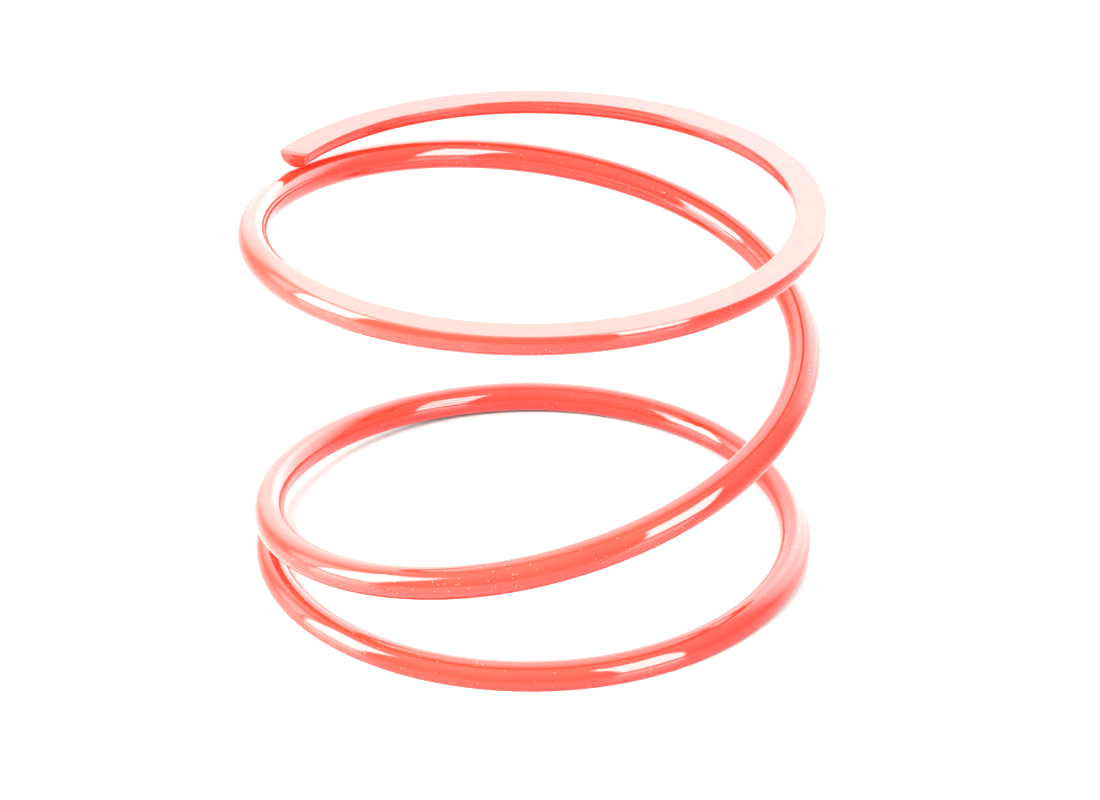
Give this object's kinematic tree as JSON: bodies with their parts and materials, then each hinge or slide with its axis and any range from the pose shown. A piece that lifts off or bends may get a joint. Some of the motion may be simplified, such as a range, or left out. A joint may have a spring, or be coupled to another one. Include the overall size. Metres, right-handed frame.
{
  "type": "coil spring",
  "caption": "Short round-wire compression coil spring with closed ends ground flat, gloss red coated, wound right-handed, that closes to nearly solid height.",
  "frame": {"origin": "on the coil axis, in the plane of the lower ground face", "axes": "+Z along the coil axis from the lower ground face to the upper one; +X and +Y across the coil, with the lower tip at 178 degrees from +X"},
  "size_m": [0.0674, 0.0674, 0.0445],
  "materials": {
    "end_wire": "gloss",
    "active_wire": "gloss"
  },
  "bodies": {
    "lower_end": {"lower_end_coil": "end_wire"},
    "active_body_01": {"active_coil_01": "active_wire"},
    "active_body_02": {"active_coil_02": "active_wire"},
    "active_body_03": {"active_coil_03": "active_wire"},
    "active_body_04": {"active_coil_04": "active_wire"},
    "active_body_05": {"active_coil_05": "active_wire"},
    "active_body_06": {"active_coil_06": "active_wire"},
    "active_body_07": {"active_coil_07": "active_wire"},
    "active_body_08": {"active_coil_08": "active_wire"},
    "active_body_09": {"active_coil_09": "active_wire"},
    "active_body_10": {"active_coil_10": "active_wire"},
    "active_body_11": {"active_coil_11": "active_wire"},
    "active_body_12": {"active_coil_12": "active_wire"},
    "active_body_13": {"active_coil_13": "active_wire"},
    "active_body_14": {"active_coil_14": "active_wire"},
    "active_body_15": {"active_coil_15": "active_wire"},
    "active_body_16": {"active_coil_16": "active_wire"},
    "active_body_17": {"active_coil_17": "active_wire"},
    "active_body_18": {"active_coil_18": "active_wire"},
    "active_body_19": {"active_coil_19": "active_wire"},
    "active_body_20": {"active_coil_20": "active_wire"},
    "active_body_21": {"active_coil_21": "active_wire"},
    "active_body_22": {"active_coil_22": "active_wire"},
    "active_body_23": {"active_coil_23": "active_wire"},
    "active_body_24": {"active_coil_24": "active_wire"},
    "active_body_25": {"active_coil_25": "active_wire"},
    "active_body_26": {"active_coil_26": "active_wire"},
    "upper_end": {"upper_end_coil": "end_wire"}
  },
  "joints": [
    {"name": "compression", "type": "slide", "parent": "lower_end", "child": "upper_end", "axis": [0, 0, -1], "range_m": [0, 0.032], "stiffness_N_per_m": 7000},
    {"name": "active_slide_01", "type": "slide", "parent": "lower_end", "child": "active_body_01", "axis": [0, 0, -1], "range_m": [0, 0.00009]},
    {"name": "active_slide_02", "type": "slide", "parent": "lower_end", "child": "active_body_02", "axis": [0, 0, -1], "range_m": [0, 0.00059]},
    {"name": "active_slide_03", "type": "slide", "parent": "lower_end", "child": "active_body_03", "axis": [0, 0, -1], "range_m": [0, 0.00159]},
    {"name": "active_slide_04", "type": "slide", "parent": "lower_end", "child": "active_body_04", "axis": [0, 0, -1], "range_m": [0, 0.00285]},
    {"name": "active_slide_05", "type": "slide", "parent": "lower_end", "child": "active_body_05", "axis": [0, 0, -1], "range_m": [0, 0.00423]},
    {"name": "active_slide_06", "type": "slide", "parent": "lower_end", "child": "active_body_06", "axis": [0, 0, -1], "range_m": [0, 0.00576]},
    {"name": "active_slide_07", "type": "slide", "parent": "lower_end", "child": "active_body_07", "axis": [0, 0, -1], "range_m": [0, 0.00741]},
    {"name": "active_slide_08", "type": "slide", "parent": "lower_end", "child": "active_body_08", "axis": [0, 0, -1], "range_m": [0, 0.0092]},
    {"name": "active_slide_09", "type": "slide", "parent": "lower_end", "child": "active_body_09", "axis": [0, 0, -1], "range_m": [0, 0.01105]},
    {"name": "active_slide_10", "type": "slide", "parent": "lower_end", "child": "active_body_10", "axis": [0, 0, -1], "range_m": [0, 0.0129]},
    {"name": "active_slide_11", "type": "slide", "parent": "lower_end", "child": "active_body_11", "axis": [0, 0, -1], "range_m": [0, 0.01472]},
    {"name": "active_slide_12", "type": "slide", "parent": "lower_end", "child": "active_body_12", "axis": [0, 0, -1], "range_m": [0, 0.01647]},
    {"name": "active_slide_13", "type": "slide", "parent": "lower_end", "child": "active_body_13", "axis": [0, 0, -1], "range_m": [0, 0.01815]},
    {"name": "active_slide_14", "type": "slide", "parent": "lower_end", "child": "active_body_14", "axis": [0, 0, -1], "range_m": [0, 0.01975]},
    {"name": "active_slide_15", "type": "slide", "parent": "lower_end", "child": "active_body_15", "axis": [0, 0, -1], "range_m": [0, 0.02129]},
    {"name": "active_slide_16", "type": "slide", "parent": "lower_end", "child": "active_body_16", "axis": [0, 0, -1], "range_m": [0, 0.02275]},
    {"name": "active_slide_17", "type": "slide", "parent": "lower_end", "child": "active_body_17", "axis": [0, 0, -1], "range_m": [0, 0.02415]},
    {"name": "active_slide_18", "type": "slide", "parent": "lower_end", "child": "active_body_18", "axis": [0, 0, -1], "range_m": [0, 0.02547]},
    {"name": "active_slide_19", "type": "slide", "parent": "lower_end", "child": "active_body_19", "axis": [0, 0, -1], "range_m": [0, 0.02673]},
    {"name": "active_slide_20", "type": "slide", "parent": "lower_end", "child": "active_body_20", "axis": [0, 0, -1], "range_m": [0, 0.02791]},
    {"name": "active_slide_21", "type": "slide", "parent": "lower_end", "child": "active_body_21", "axis": [0, 0, -1], "range_m": [0, 0.02902]},
    {"name": "active_slide_22", "type": "slide", "parent": "lower_end", "child": "active_body_22", "axis": [0, 0, -1], "range_m": [0, 0.03001]},
    {"name": "active_slide_23", "type": "slide", "parent": "lower_end", "child": "active_body_23", "axis": [0, 0, -1], "range_m": [0, 0.03081]},
    {"name": "active_slide_24", "type": "slide", "parent": "lower_end", "child": "active_body_24", "axis": [0, 0, -1], "range_m": [0, 0.0314]},
    {"name": "active_slide_25", "type": "slide", "parent": "lower_end", "child": "active_body_25", "axis": [0, 0, -1], "range_m": [0, 0.0318]},
    {"name": "active_slide_26", "type": "slide", "parent": "lower_end", "child": "active_body_26", "axis": [0, 0, -1], "range_m": [0, 0.032]}
  ],
  "couplings": [
    {"joint": "active_slide_01", "follows": "compression", "ratio": 0.002},
    {"joint": "active_slide_02", "follows": "compression", "ratio": 0.0177},
    {"joint": "active_slide_03", "follows": "compression", "ratio": 0.049},
    {"joint": "active_slide_04", "follows": "compression", "ratio": 0.0882},
    {"joint": "active_slide_05", "follows": "compression", "ratio": 0.1315},
    {"joint": "active_slide_06", "follows": "compression", "ratio": 0.1791},
    {"joint": "active_slide_07", "follows": "compression", "ratio": 0.2309},
    {"joint": "active_slide_08", "follows": "compression", "ratio": 0.2868},
    {"joint": "active_slide_09", "follows": "compression", "ratio": 0.3446},
    {"joint": "active_slide_10", "follows": "compression", "ratio": 0.4025},
    {"joint": "active_slide_11", "follows": "compression", "ratio": 0.4593},
    {"joint": "active_slide_12", "follows": "compression", "ratio": 0.5139},
    {"joint": "active_slide_13", "follows": "compression", "ratio": 0.5663},
    {"joint": "active_slide_14", "follows": "compression", "ratio": 0.6164},
    {"joint": "active_slide_15", "follows": "compression", "ratio": 0.6644},
    {"joint": "active_slide_16", "follows": "compression", "ratio": 0.7102},
    {"joint": "active_slide_17", "follows": "compression", "ratio": 0.7538},
    {"joint": "active_slide_18", "follows": "compression", "ratio": 0.7952},
    {"joint": "active_slide_19", "follows": "compression", "ratio": 0.8344},
    {"joint": "active_slide_20", "follows": "compression", "ratio": 0.8713},
    {"joint": "active_slide_21", "follows": "compression", "ratio": 0.9061},
    {"joint": "active_slide_22", "follows": "compression", "ratio": 0.9371},
    {"joint": "active_slide_23", "follows": "compression", "ratio": 0.962},
    {"joint": "active_slide_24", "follows": "compression", "ratio": 0.9806},
    {"joint": "active_slide_25", "follows": "compression", "ratio": 0.993},
    {"joint": "active_slide_26", "follows": "compression", "ratio": 0.9992}
  ]
}
